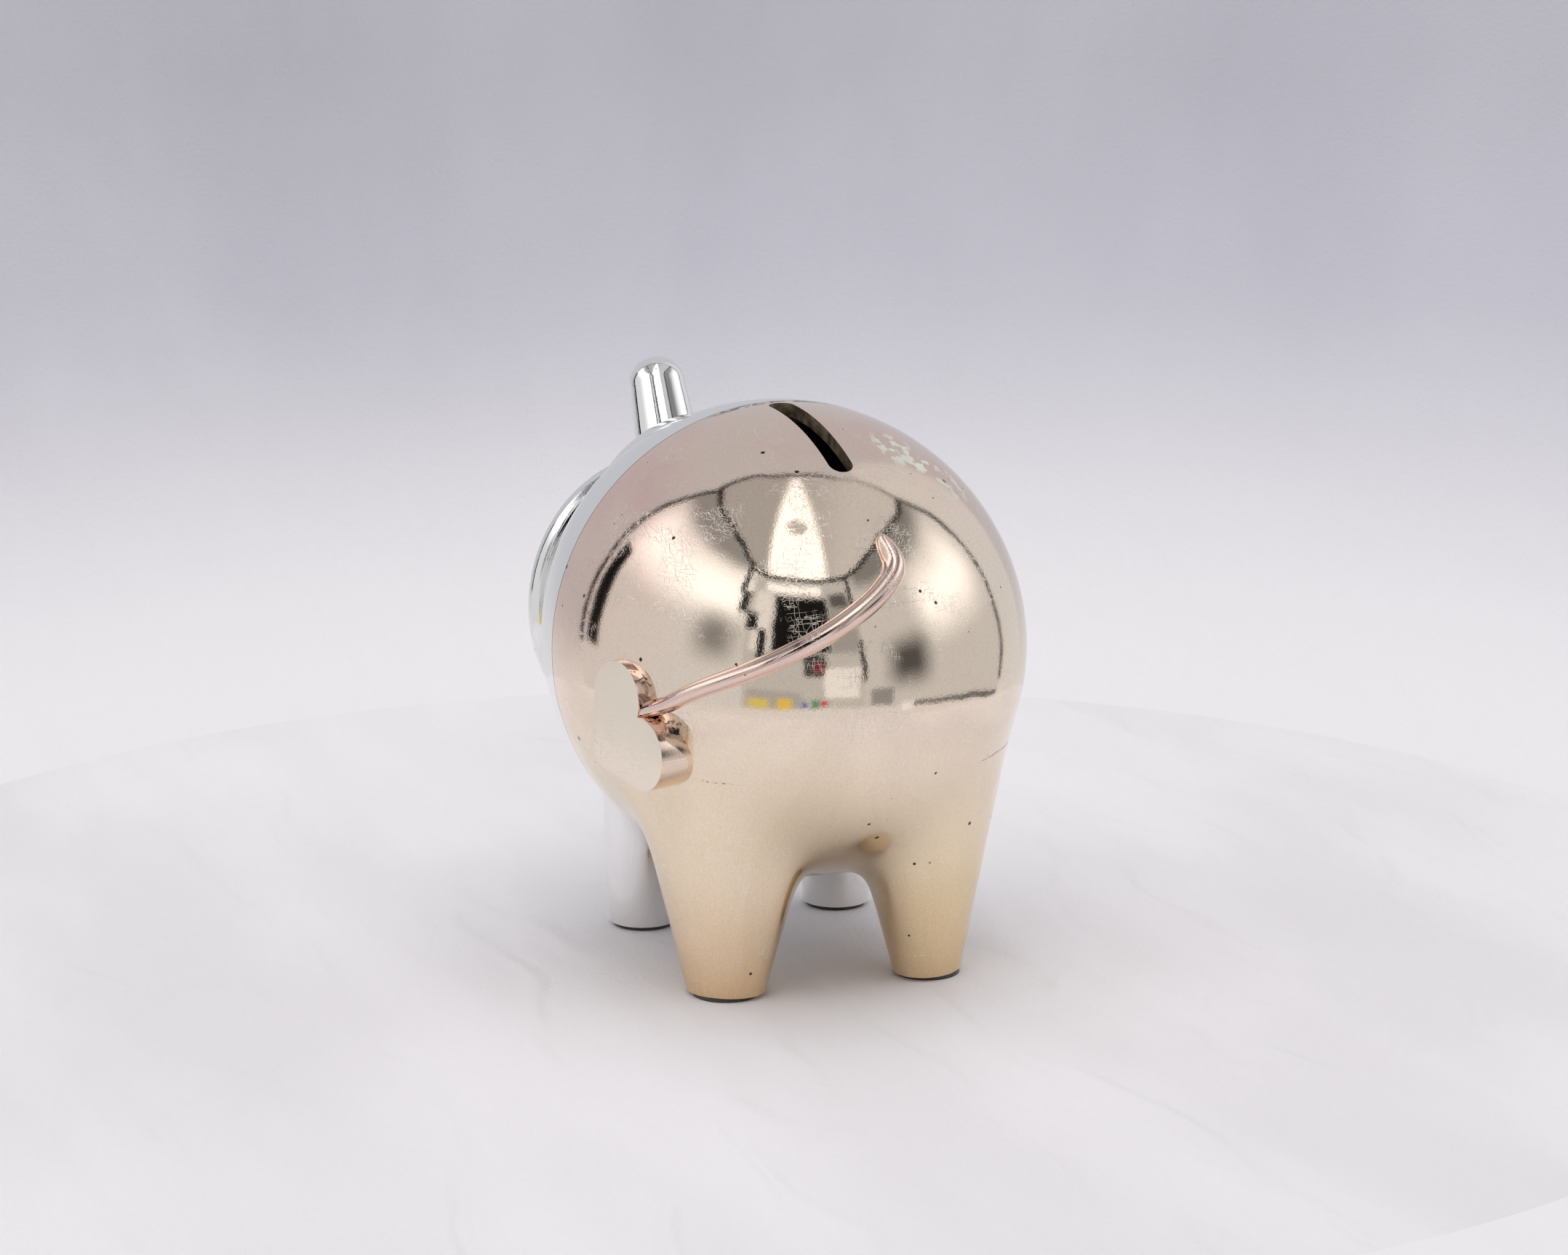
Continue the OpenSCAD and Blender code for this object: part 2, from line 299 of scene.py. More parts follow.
def carve(piece, *cutters):
    for cutter in cutters:
        modify(piece, "BOOLEAN", operation="DIFFERENCE", object=cutter, solver="EXACT")


def throwAway(*pieces):
    for piece in pieces:
        bpy.data.objects.remove(piece)


def slopeOf(form, p):
    slope = rawSlope(form, p)
    return slope / np.maximum(np.linalg.norm(slope, axis=1), 1e-9)[:, None]


# the polished outside takes its normals from the form itself, so reflections run without a ripple
def trueNormals(piece, form, near=0.02 * mm):
    mesh = piece.data
    p = points(piece)
    slope = slopeOf(form, p)
    onForm = np.abs(form(p)) < near
    corners = np.zeros(len(mesh.loops) * 3)
    mesh.corner_normals.foreach_get("vector", corners)
    corners = corners.reshape(-1, 3)
    vertOf = np.zeros(len(mesh.loops), int)
    mesh.loops.foreach_get("vertex_index", vertOf)
    sizes = np.zeros(len(mesh.polygons), int)
    mesh.polygons.foreach_get("loop_total", sizes)
    faceNormals = np.zeros(len(mesh.polygons) * 3)
    mesh.polygons.foreach_get("normal", faceNormals)
    faceNormals = np.repeat(faceNormals.reshape(-1, 3), sizes, axis=0)
    use = onForm[vertOf] & ((faceNormals * slope[vertOf]).sum(1) > 0.8)
    corners[use] = slope[vertOf][use]
    mesh.normals_split_custom_set(corners.tolist())


# outside and soles are plated; the inside and the walls of the cuts are raw metal
def dressCasting(piece, plate, raw):
    piece.data.materials.clear()
    piece.data.materials.append(plate)
    piece.data.materials.append(raw)
    centres = np.array([face.center for face in piece.data.polygons])
    faceNormals = np.array([face.normal for face in piece.data.polygons])
    outwards = (slopeOf(animalForm, centres) * faceNormals).sum(1) > 0.7
    outer = (np.abs(animalForm(centres)) < 0.05 * mm) & outwards
    sole = (faceNormals[:, 2] < -0.95) & (centres[:, 2] < padTop + 0.1 * mm)
    piece.data.polygons.foreach_set("material_index", np.where(outer | sole, 0, 1))
    piece.data.update()


# ears, trunk, tail and the small pieces
ear = {"forward": 40.5 * mm, "side": 11 * mm, "up": -0.3 * mm, "across": 27 * mm, "high": 29.6 * mm,
       "middle": 1.8 * mm, "rim": 3.0 * mm, "rimWide": 4.6 * mm}


def makeEar(side):
    profile = [(0, ear["middle"]), (0.55, ear["middle"]), (0.78, ear["middle"] * 1.02)]
    outline = ear["across"]
    bead = ear["rimWide"] / 2
    centre = outline - bead
    for turn in np.linspace(math.radians(165), 0, 14):
        profile.append(((centre + bead * math.cos(turn)) / outline, ear["rim"] * math.sin(turn)))
    profile = [(r, t) for r, t in profile if t >= 0]
    half = [(r * outline, t) for r, t in profile]
    line = half + [(r, -t) for r, t in reversed(half[:-1])]
    mesh = bpy.data.meshes.new("ear")
    mesh.from_pydata([(t, 0, r) for r, t in line], [(i, i + 1) for i in range(len(line) - 1)], [])
    piece = bpy.data.objects.new("ear", mesh)
    bpy.context.collection.objects.link(piece)
    pick(piece)
    bpy.ops.object.mode_set(mode="EDIT")
    bpy.ops.mesh.select_all(action="SELECT")
    bpy.ops.mesh.spin(steps=128, angle=2 * math.pi, center=(0, 0, 0), axis=(1, 0, 0))
    bpy.ops.object.mode_set(mode="OBJECT")
    turnOutwards(piece)
    piece.scale = (1, 1, ear["high"] / ear["across"])
    piece.location = bodyCentre + Vector((ear["forward"], side * ear["side"], ear["up"]))
    return bake(piece, "leftEar" if side > 0 else "rightEar")


trunk = {"tip": 5.7 * mm, "root": 7.5 * mm, "forward": 74.5 * mm, "up": 36.8 * mm, "straight": 22 * mm,
         "lean": math.radians(30), "bend": 13 * mm, "sides": 64, "rings": 40, "tipRings": 16}


# middle line of the trunk from its root inside the head to the middle of its tip, with the radius
def trunkLine():
    lean, bend = trunk["lean"], trunk["bend"]
    tip = bodyCentre + Vector((trunk["forward"], 0, trunk["up"]))
    along = Vector((math.sin(lean), 0, math.cos(lean)))
    top = tip - along * trunk["straight"]
    centre = top - Vector((math.cos(lean), 0, -math.sin(lean))) * bend
    total = trunk["straight"] + bend * math.radians(100)
    line = []
    for k in range(trunk["rings"] + 1):
        s = total * k / trunk["rings"]
        reach = total - s
        if reach <= trunk["straight"]:
            place, way = tip - along * reach, along
        else:
            turn = (reach - trunk["straight"]) / bend
            angle = -lean - turn
            place = centre + Vector((math.cos(angle), 0, math.sin(angle))) * bend
            way = Vector((-math.sin(angle), 0, math.cos(angle)))
        share = min(1, reach / total * 1.6)
        line.append((place, way, trunk["tip"] + (trunk["root"] - trunk["tip"]) * share))
    return line, along


def ringFaces(count, sides):
    return [(k * sides + i, k * sides + (i + 1) % sides, (k + 1) * sides + (i + 1) % sides,
             (k + 1) * sides + i) for k in range(count - 1) for i in range(sides)]


def meshPiece(name, verts, faces):
    mesh = bpy.data.meshes.new(name)
    mesh.from_pydata([tuple(v) for v in verts], [], faces)
    piece = bpy.data.objects.new(name, mesh)
    bpy.context.collection.objects.link(piece)
    return piece


def makeTrunk():
    line, along = trunkLine()
    side = Vector((0, 1, 0))
    rings = []
    for place, way, radius in line:
        rings.append((place, side, side.cross(way), radius))
    tip, sides = line[-1][0], trunk["sides"]
    for k in range(1, trunk["tipRings"] + 1):  # the rounded tip, left open by a hair for its end face
        turn = math.pi / 2 * k / (trunk["tipRings"] + 0.4)
        rings.append((tip + along * trunk["tip"] * math.sin(turn), side, side.cross(along),
                      trunk["tip"] * math.cos(turn)))
    verts = [place + (a * math.cos(t) + b * math.sin(t)) * radius for place, a, b, radius in rings
             for t in (2 * math.pi * i / sides for i in range(sides))]
    faces = ringFaces(len(rings), sides)
    faces += [tuple(range(sides)), tuple(range(len(verts) - sides, len(verts)))]
    piece = meshPiece("trunkCasting", verts, faces)
    turnOutwards(piece)
    return piece


tail = {"wide": 4.3 * mm, "endWide": 3.1 * mm, "high": 2.5 * mm, "sunk": 0.9 * mm, "tipPart": 0.12,
        "sweep": [(-0.067, 0.61), (-0.1, 0.5), (-0.02, 0.41), (0.165, 0.293), (0.385, 0.177),
                  (0.655, 0.035)],
        "end": [(-2.5 * mm, 4.6 * mm), (0.2 * mm, 2.8 * mm)], "steps": 12, "sides": 28}
heart = {"back": 28.4 * mm, "drop": 7.3 * mm, "proud": 2.9 * mm, "turn": math.radians(72),
         "tilt": math.radians(53), "lobe": 6.8 * mm, "lobeSide": 5.8 * mm, "tip": 8.2 * mm,
         "tipRound": 4.6 * mm, "deep": 9 * mm, "steps": 40, "tipSteps": 14, "round": 0.55 * mm}
heartAt = np.array([math.sqrt(1 - (heart["back"] / body["halfLength"]) ** 2
                              - (heart["drop"] / body["radius"]) ** 2), -heart["drop"] / body["radius"]])


def onRump(left, up):
    return np.array([-body["halfLength"] * math.sqrt(max(0, 1 - left ** 2 - up ** 2)),
                     body["radius"] * left, body["radius"] * up])


# the tail's route on the rump as a smooth curve through its points
def tailRoute():
    route = [np.array(q) for q in tail["sweep"]]
    route += [heartAt + np.array(d) / body["radius"] for d in tail["end"]]
    ends = [2 * route[0] - route[1]] + route + [2 * route[-1] - route[-2]]
    line = []
    for i in range(1, len(ends) - 2):
        a, b, c, d = ends[i - 1:i + 3]
        for k in range(tail["steps"]):
            t = k / tail["steps"]
            line.append(0.5 * (2 * b + (c - a) * t + (2 * a - 5 * b + 4 * c - d) * t ** 2
                               + (3 * b - a - 3 * c + d) * t ** 3))
    return line + [route[-1]]


def makeTail():
    places = np.array([onRump(*q) for q in tailRoute()])
    ways = np.gradient(places, axis=0)
    ways /= np.linalg.norm(ways, axis=1)[:, None]
    sizes = np.array([body["halfLength"], body["radius"], body["radius"]])
    up = places / sizes ** 2
    up /= np.linalg.norm(up, axis=1)[:, None]
    across = np.cross(ways, up)
    across /= np.linalg.norm(across, axis=1)[:, None]
    walked = np.concatenate([[0], np.cumsum(np.linalg.norm(np.diff(places, axis=0), axis=1))])
    walked /= walked[-1]
    verts, sides = [], tail["sides"]
    for place, u, a, s in zip(places, up, across, walked):
        point = math.sqrt(max(0.0004, 1 - (1 - min(1, s / tail["tipPart"])) ** 2))
        wide = (tail["wide"] + (tail["endWide"] - tail["wide"]) * s) / 2 * point
        high = tail["high"] * (0.35 + 0.65 * point)
        for i in range(sides):
            t = 2 * math.pi * i / sides
            lift = high * math.sin(t) if math.sin(t) > 0 else tail["sunk"] * math.sin(t)
            verts.append(np.array(bodyCentre) + place + a * wide * math.cos(t) + u * lift)
    faces = ringFaces(len(places), sides)
    faces += [tuple(range(sides)), tuple(range(len(verts) - sides, len(verts)))]
    piece = meshPiece("tailRope", verts, faces)
    turnOutwards(piece)
    return piece


def heartOutline():
    r, side, tip, tipR = heart["lobe"], heart["lobeSide"], heart["tip"], heart["tipRound"]
    start = math.atan2(tip, side) - math.acos((tipR - r) / math.hypot(side, tip))
    end = math.acos(-side / r)
    half = [(tipR * math.cos(t), tipR * math.sin(t) - tip)
            for t in np.linspace(-math.pi / 2, start, heart["tipSteps"])]
    half += [(r * math.cos(t) + side, r * math.sin(t)) for t in np.linspace(start, end, heart["steps"])]
    return half + [(-x, y) for x, y in reversed(half[1:-1])]


def makeHeart():
    outline = heartOutline()
    piece = meshPiece("heartTassel", [(x, y, 0) for x, y in outline], [tuple(range(len(outline)))])
    pick(piece)
    bpy.ops.object.mode_set(mode="EDIT")
    bpy.ops.mesh.select_all(action="SELECT")
    bpy.ops.mesh.extrude_region_move(TRANSFORM_OT_translate={"value": (0, 0, heart["deep"])})
    bpy.ops.mesh.select_all(action="SELECT")
    bpy.ops.mesh.normals_make_consistent(inside=False)
    bpy.ops.object.mode_set(mode="OBJECT")
    place = bodyCentre + Vector((-heart["back"], body["radius"] * heartAt[0] + heart["proud"],
                                 -heart["drop"]))
    turn = math.pi / 2 - heart["turn"]
    spin = Matrix.Rotation(turn, 4, "Z") @ Matrix.Rotation(math.pi / 2, 4, "X")
    piece.matrix_world = Matrix.Translation(place) @ spin @ Matrix.Rotation(heart["tilt"], 4, "Z")
    return bake(piece, "heartTassel")


def roundHeart(piece):
    pick(piece)
    modifier = piece.modifiers.new("round", "BEVEL")
    modifier.width = heart["round"]
    modifier.segments = 5
    modifier.limit_method = "ANGLE"
    modifier.angle_limit = math.radians(60)
    bpy.ops.object.modifier_apply(modifier=modifier.name)


eye = {"side": math.radians(38), "lift": math.radians(22), "radius": 2.3 * mm, "sunk": 0.2 * mm,
       "flat": 0.62}


def makeEye(side):
    flat = math.cos(eye["lift"])
    way = Vector((math.cos(eye["side"]) * flat, side * math.sin(eye["side"]) * flat, math.sin(eye["lift"])))
    bpy.ops.mesh.primitive_uv_sphere_add(segments=48, ring_count=24, radius=eye["radius"])
    piece = bpy.context.object
    turn = way.to_track_quat("Z", "Y").to_matrix().to_4x4()
    piece.matrix_world = (Matrix.Translation(headCentre + way * (head["radius"] - eye["sunk"])) @ turn
                          @ Matrix.Diagonal((1, 1, eye["flat"], 1)))
    return bake(piece, "leftEye" if side > 0 else "rightEye")


plug = {"radius": 14.54 * mm, "flange": 1.8 * mm, "rim": 2.2 * mm, "hollow": 3.6 * mm,
        "gripLong": 16 * mm, "gripThick": 3 * mm, "gripSunk": 0.4 * mm, "soften": 0.35 * mm}


def makeStopper():
    low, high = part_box("stopper")
    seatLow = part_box("stopper_seat")[0]
    x = (low.x + high.x) / 2
    flangeR = (high.x - low.x) / 2
    flangeLow = seatLow.z - plug["flange"]
    gripTop = flangeLow + plug["gripSunk"]
    bpy.ops.mesh.primitive_cylinder_add(vertices=128, radius=flangeR, depth=seatLow.z - flangeLow,
                                        location=(x, 0, (seatLow.z + flangeLow) / 2))
    piece = bpy.context.object
    bake(piece, "rubberStopper")
    bpy.ops.object.mode_set(mode="EDIT")
    bpy.ops.mesh.select_mode(type="FACE")
    bpy.ops.mesh.select_all(action="DESELECT")
    mesh = bmesh.from_edit_mesh(piece.data)
    for face in mesh.faces:
        face.select = face.normal.z > 0.9
    bmesh.update_edit_mesh(piece.data)
    bpy.ops.mesh.inset(thickness=flangeR - plug["radius"])
    bpy.ops.mesh.extrude_region_move(TRANSFORM_OT_translate={"value": (0, 0, high.z - seatLow.z)})
    bpy.ops.mesh.inset(thickness=plug["rim"])
    bpy.ops.mesh.extrude_region_move(TRANSFORM_OT_translate={"value": (0, 0, -plug["hollow"])})
    bpy.ops.object.mode_set(mode="OBJECT")
    bpy.ops.mesh.primitive_cube_add(size=1, location=(x, 0, (low.z + gripTop) / 2))
    grip = bpy.context.object
    grip.scale = (plug["gripLong"], plug["gripThick"], gripTop - low.z)
    bake(grip, "grip")
    modify(piece, "BOOLEAN", operation="UNION", object=grip, solver="EXACT")
    throwAway(grip)
    modify(piece, "BEVEL", width=plug["soften"], segments=3, limit_method="ANGLE",
           angle_limit=math.radians(50))
    turnOutwards(piece)
    return piece


# materials
def node(tree, kind, settings=None, **inputs):
    made = tree.nodes.new(kind)
    for key, value in (settings or {}).items():
        setattr(made, key, value)
    for key, value in inputs.items():
        numbered = key[0] == "i" and key[1:].isdigit()
        feed(tree, made.inputs[int(key[1:]) if numbered else key.replace("_", " ")], value)
    return made


def feed(tree, socket, value):
    if isinstance(value, bpy.types.NodeSocket):
        tree.links.new(value, socket)
    else:
        socket.default_value = value


def sums(tree, operation, *values):
    made = tree.nodes.new("ShaderNodeMath")
    made.operation = operation
    for socket, value in zip(made.inputs, values):
        feed(tree, socket, value)
    return made.outputs[0]


def addShare(tree, value, mask, factor):
    return sums(tree, "ADD", value, sums(tree, "MULTIPLY", mask, factor))


# 0 at low and 1 at high, with a soft start and end; low may be the larger of the two
def between(tree, value, low, high):
    made = node(tree, "ShaderNodeMapRange", {"interpolation_type": "SMOOTHSTEP"}, i0=value, i1=low, i2=high)
    return made.outputs[0]


def blendColour(tree, share, a, b):
    made = node(tree, "ShaderNodeMix", {"data_type": "RGBA"}, i0=share, i6=a, i7=b)
    return made.outputs[2]


def noise(tree, place, scale, detail=3.0, rough=0.5):
    made = node(tree, "ShaderNodeTexNoise", Vector=place, Scale=scale, Detail=detail, Roughness=rough)
    return made.outputs[0]


def newGroup(name, ins, outs):
    group = bpy.data.node_groups.new(name, "ShaderNodeTree")
    for label, kind in ins:
        group.interface.new_socket(label, in_out="INPUT", socket_type=kind)
    for label, kind in outs:
        group.interface.new_socket(label, in_out="OUTPUT", socket_type=kind)
    return group, group.nodes.new("NodeGroupInput"), group.nodes.new("NodeGroupOutput")


plateMarks = {"pitCells": 260.0, "pitSize": 0.09, "pitSoft": 0.05, "wiped": 38.0, "wipedFrom": (0.42, 0.68),
              "scratchThin": 0.008, "scratchPatches": 110.0, "patchesFrom": (0.50, 0.62), "grain": 2600.0,
              "blotch": 16.0, "blotchFrom": (0.35, 0.7),
              "scratchLies": [((0.4, 0.9, 0.3), (60, 900, 420)), ((1.1, 0.2, 1.4), (380, 50, 1100)),
                              ((0.1, 1.9, 2.2), (900, 700, 46))]}


# small damage that every plated piece shares: pits, fine scratches, wiped marks and a fine grain
def platingWearGroup():
    group, start, end = newGroup("platingWear", [("Place", "NodeSocketVector"), ("Pits", "NodeSocketFloat"),
                                                 ("Scratches", "NodeSocketFloat")],
                                 [("Pits", "NodeSocketFloat"), ("Scratches", "NodeSocketFloat"),
                                  ("Wiped", "NodeSocketFloat"), ("Grain", "NodeSocketFloat"),
                                  ("Blotch", "NodeSocketFloat")])
    place = start.outputs["Place"]
    cells = node(group, "ShaderNodeTexVoronoi", Vector=place, Scale=plateMarks["pitCells"])
    chance = node(group, "ShaderNodeSeparateColor", i0=cells.outputs["Color"])
    chosen = sums(group, "GREATER_THAN", start.outputs["Pits"], chance.outputs[0])
    size = sums(group, "MULTIPLY", chance.outputs[1], plateMarks["pitSize"])
    dot = between(group, cells.outputs["Distance"], sums(group, "ADD", size, plateMarks["pitSoft"]), size)
    group.links.new(sums(group, "MULTIPLY", dot, chosen), end.inputs["Pits"])
    wiped = between(group, noise(group, place, plateMarks["wiped"], 4.0), *plateMarks["wipedFrom"])
    marks = 0.0
    for turn, stretch in plateMarks["scratchLies"]:
        lie = node(group, "ShaderNodeMapping", Vector=place, Rotation=turn, Scale=stretch).outputs[0]
        lines = sums(group, "ABSOLUTE", sums(group, "SUBTRACT", noise(group, lie, 1.0, 1.0), 0.5))
        marks = sums(group, "ADD", marks, between(group, lines, plateMarks["scratchThin"], 0.0))
    patchy = noise(group, place, plateMarks["scratchPatches"], 2.0)
    patchy = between(group, patchy, *plateMarks["patchesFrom"])
    marks = sums(group, "MULTIPLY", sums(group, "MULTIPLY", marks, patchy), start.outputs["Scratches"])
    group.links.new(marks, end.inputs["Scratches"])
    group.links.new(wiped, end.inputs["Wiped"])
    blotch = between(group, noise(group, place, plateMarks["blotch"], 3.0), *plateMarks["blotchFrom"])
    group.links.new(noise(group, place, plateMarks["grain"], 2.0), end.inputs["Grain"])
    group.links.new(blotch, end.inputs["Blotch"])
    return group


def newMaterial(name):
    made = bpy.data.materials.new(name)
    made.use_nodes = True
    tree = made.node_tree
    tree.nodes.clear()
    return made, tree, node(tree, "ShaderNodeTexCoord").outputs["Object"]


def closeMaterial(tree, **looks):
    shader = node(tree, "ShaderNodeBsdfPrincipled", **looks)
    node(tree, "ShaderNodeOutputMaterial", Surface=shader.outputs[0])


def plateBase(name, wear, pits, scratches):
    made, tree, place = newMaterial(name)
    worn = node(tree, "ShaderNodeGroup", {"node_tree": wear}, Place=place, Pits=pits, Scratches=scratches)
    xyz = node(tree, "ShaderNodeSeparateXYZ", Vector=place).outputs
    return made, tree, place, worn.outputs, xyz


def closePlate(tree, colour, rough, worn, grain, metal=1.0):
    bump = node(tree, "ShaderNodeBump", Strength=0.35, Distance=0.00002,
                Height=sums(tree, "SUBTRACT", sums(tree, "MULTIPLY", worn["Grain"], grain),
                            sums(tree, "MULTIPLY", sums(tree, "ADD", worn["Pits"], worn["Scratches"]), 1.5)))
    closeMaterial(tree, Base_Color=colour, Roughness=rough, Metallic=metal, Normal=bump.outputs[0])


warm = {"champagne": (0.93, 0.80, 0.67, 1), "belly": (0.93, 0.79, 0.60, 1), "pink": (0.89, 0.63, 0.56, 1),
        "rose": (0.88, 0.68, 0.60, 1), "leg": (0.86, 0.72, 0.48, 1), "foot": (0.82, 0.56, 0.30, 1),
        "pit": (0.05, 0.035, 0.03, 1), "pale": (0.97, 0.94, 0.90, 1), "water": (0.74, 0.74, 0.62, 1),
        "rough": 0.05, "pits": 0.30, "drift": 30 * mm, "bellyHeight": (62 * mm, 30 * mm),
        "dullHeight": (50 * mm, 20 * mm), "pinkAlong": (-52 * mm, -24 * mm), "pinkHeight": (40 * mm, 85 * mm),
        "legHeight": (36 * mm, 14 * mm), "legSide": (-2 * mm, -18 * mm), "footHeight": (24 * mm, 1 * mm),
        "crustWide": (2.6 * mm, 1.2 * mm), "crustHeight": (103.5 * mm, 105.5 * mm),
        "waterReach": (8 * mm, 4 * mm),
        "waterAt": [(-20.4 * mm, -16 * mm, 38.3 * mm), (-22.6 * mm, -23.1 * mm, 33.5 * mm)]}


# champagne silver, pinker at the seam, yellow on one leg, copper at the feet; dried water marks by the slot
def warmPlate(wear, name, start):
    made, tree, place, worn, xyz = plateBase(name, wear, warm["pits"], 1.0)
    drift = sums(tree, "SUBTRACT", noise(tree, place, 22.0, 3.0), 0.5)
    drift = sums(tree, "MULTIPLY", drift, warm["drift"])
    height = sums(tree, "ADD", xyz["Z"], drift)
    along = sums(tree, "ADD", xyz["X"], drift)
    colour = blendColour(tree, between(tree, height, *warm["bellyHeight"]), start, warm["belly"])
    nearSeam = sums(tree, "MULTIPLY", between(tree, along, *warm["pinkAlong"]),
                    between(tree, height, *warm["pinkHeight"]))
    patchy = addShare(tree, 0.35, worn["Wiped"], 0.6)
    colour = blendColour(tree, sums(tree, "MULTIPLY", nearSeam, patchy), colour, warm["pink"])
    yellow = sums(tree, "MULTIPLY", between(tree, height, *warm["legHeight"]),
                  between(tree, xyz["Y"], *warm["legSide"]))
    colour = blendColour(tree, sums(tree, "MULTIPLY", yellow, 0.8), colour, warm["leg"])
    patchy = addShare(tree, 0.5, worn["Blotch"], 0.5)
    feet = sums(tree, "MULTIPLY", between(tree, height, *warm["footHeight"]), patchy)
    colour = blendColour(tree, sums(tree, "MULTIPLY", feet, 0.85), colour, warm["foot"])
    mottle = between(tree, worn["Grain"], 0.35, 0.65)
    colour = blendColour(tree, sums(tree, "MULTIPLY", mottle, 0.07), colour, warm["pit"])
    water = 0.0
    for spot in warm["waterAt"]:
        far = node(tree, "ShaderNodeVectorMath", {"operation": "DISTANCE"}, i0=place,
                   i1=tuple(bodyCentre + Vector(spot))).outputs[1]
        water = sums(tree, "ADD", water, between(tree, far, *warm["waterReach"]))
    water = sums(tree, "MULTIPLY", water, between(tree, noise(tree, place, 420.0, 2.0), 0.50, 0.58))
    colour = blendColour(tree, water, colour, warm["water"])
    fromSeam = sums(tree, "ABSOLUTE", sums(tree, "SUBTRACT", xyz["X"], seamX))
    crust = sums(tree, "MULTIPLY", between(tree, fromSeam, *warm["crustWide"]),
                 between(tree, noise(tree, place, 700.0, 3.0), 0.44, 0.54))
    crust = sums(tree, "MULTIPLY", crust, between(tree, xyz["Z"], *warm["crustHeight"]))
    colour = blendColour(tree, crust, colour, warm["pit"])
    colour = blendColour(tree, sums(tree, "MULTIPLY", worn["Scratches"], 0.6), colour, warm["pale"])
    colour = blendColour(tree, worn["Pits"], colour, warm["pit"])
    rough = addShare(tree, warm["rough"], worn["Wiped"], 0.05)
    duller = between(tree, height, *warm["dullHeight"])
    rough = addShare(tree, rough, duller, 0.07)
    rough = addShare(tree, rough, worn["Scratches"], 0.15)
    rough = addShare(tree, rough, sums(tree, "ADD", water, crust), 0.25)
    metal = sums(tree, "SUBTRACT", 1.0, sums(tree, "MULTIPLY", water, 0.7))
    closePlate(tree, colour, rough, worn, 1.0, metal)
    return made


bright = {"silver": (0.93, 0.93, 0.93, 1), "dull": (0.80, 0.77, 0.71, 1), "pit": (0.08, 0.07, 0.06, 1),
          "rough": 0.05}


def brightPlate(wear):
    made, tree, place, worn, xyz = plateBase("brightPlate", wear, 0.04, 0.6)
    colour = blendColour(tree, sums(tree, "MULTIPLY", worn["Blotch"], 0.22), bright["silver"], bright["dull"])
    # the front casting is painted duller towards the bottom, below 12 mm: a painted reflection of the dark
    # underside in the front feet
    low = between(tree, xyz["Z"], 0.012, 0.0)
    colour = blendColour(tree, sums(tree, "MULTIPLY", low, 0.5), colour, bright["dull"])
    colour = blendColour(tree, worn["Pits"], colour, bright["pit"])
    rough = addShare(tree, bright["rough"], worn["Wiped"], 0.06)
    rough = addShare(tree, rough, worn["Scratches"], 0.12)
    closePlate(tree, colour, rough, worn, 0.5)
    return made


heartFace = {"satin": (0.94, 0.84, 0.72, 1), "wear": (0.90, 0.74, 0.62, 1), "rough": 0.2}


# the heart's flat face is brushed to a satin; its walls stay polished
def satinPlate(wear):
    made, tree, place, worn, xyz = plateBase("satinPlate", wear, 0.06, 1.0)
    colour = blendColour(tree, worn["Blotch"], heartFace["satin"], heartFace["wear"])
    colour = blendColour(tree, worn["Pits"], colour, warm["pit"])
    rough = addShare(tree, heartFace["rough"], worn["Wiped"], 0.1)
    closePlate(tree, colour, rough, worn, 2.0)
    return made


raw = {"light": (0.42, 0.33, 0.22, 1), "dark": (0.10, 0.075, 0.05, 1), "rough": 0.5}


def rawCasting():
    made, tree, place = newMaterial("rawCasting")
    lumps = noise(tree, place, 420.0, 6.0, 0.65)
    colour = blendColour(tree, between(tree, lumps, 0.3, 0.7), raw["dark"], raw["light"])
    bump = node(tree, "ShaderNodeBump", Strength=0.6, Distance=0.0003, Height=lumps)
    rough = addShare(tree, raw["rough"], lumps, 0.25)
    closeMaterial(tree, Base_Color=colour, Roughness=rough, Metallic=0.7, Normal=bump.outputs[0])
    return made


bare = {"dark": (0.46, 0.45, 0.43, 1), "light": (0.62, 0.60, 0.57, 1), "rough": 0.28,
        "turning": (120, 120, 3200)}


def bareMetal():
    made, tree, place = newMaterial("bareMetal")
    lie = node(tree, "ShaderNodeMapping", Vector=place, Scale=bare["turning"]).outputs[0]
    turned = noise(tree, lie, 1.0, 3.0)
    colour = blendColour(tree, turned, bare["dark"], bare["light"])
    bump = node(tree, "ShaderNodeBump", Strength=0.3, Distance=0.00005, Height=turned)
    rough = addShare(tree, bare["rough"], turned, 0.2)
    closeMaterial(tree, Base_Color=colour, Roughness=rough, Metallic=1.0, Normal=bump.outputs[0])
    return made


enamel = {"dark": (0.008, 0.008, 0.01, 1), "light": (0.02, 0.019, 0.02, 1), "rough": 0.05}


def eyeEnamel():
    made, tree, place = newMaterial("eyeEnamel")
    wave = noise(tree, place, 700.0, 2.0)
    colour = blendColour(tree, wave, enamel["dark"], enamel["light"])
    bump = node(tree, "ShaderNodeBump", Strength=0.15, Distance=0.00004, Height=wave)
    rough = addShare(tree, enamel["rough"], noise(tree, place, 260.0), 0.1)
    closeMaterial(tree, Base_Color=colour, Roughness=rough, Normal=bump.outputs[0], Coat_Weight=0.5)
    return made


rubber = {"clean": (0.018, 0.018, 0.019, 1), "dusty": (0.05, 0.048, 0.045, 1), "rough": 0.55}


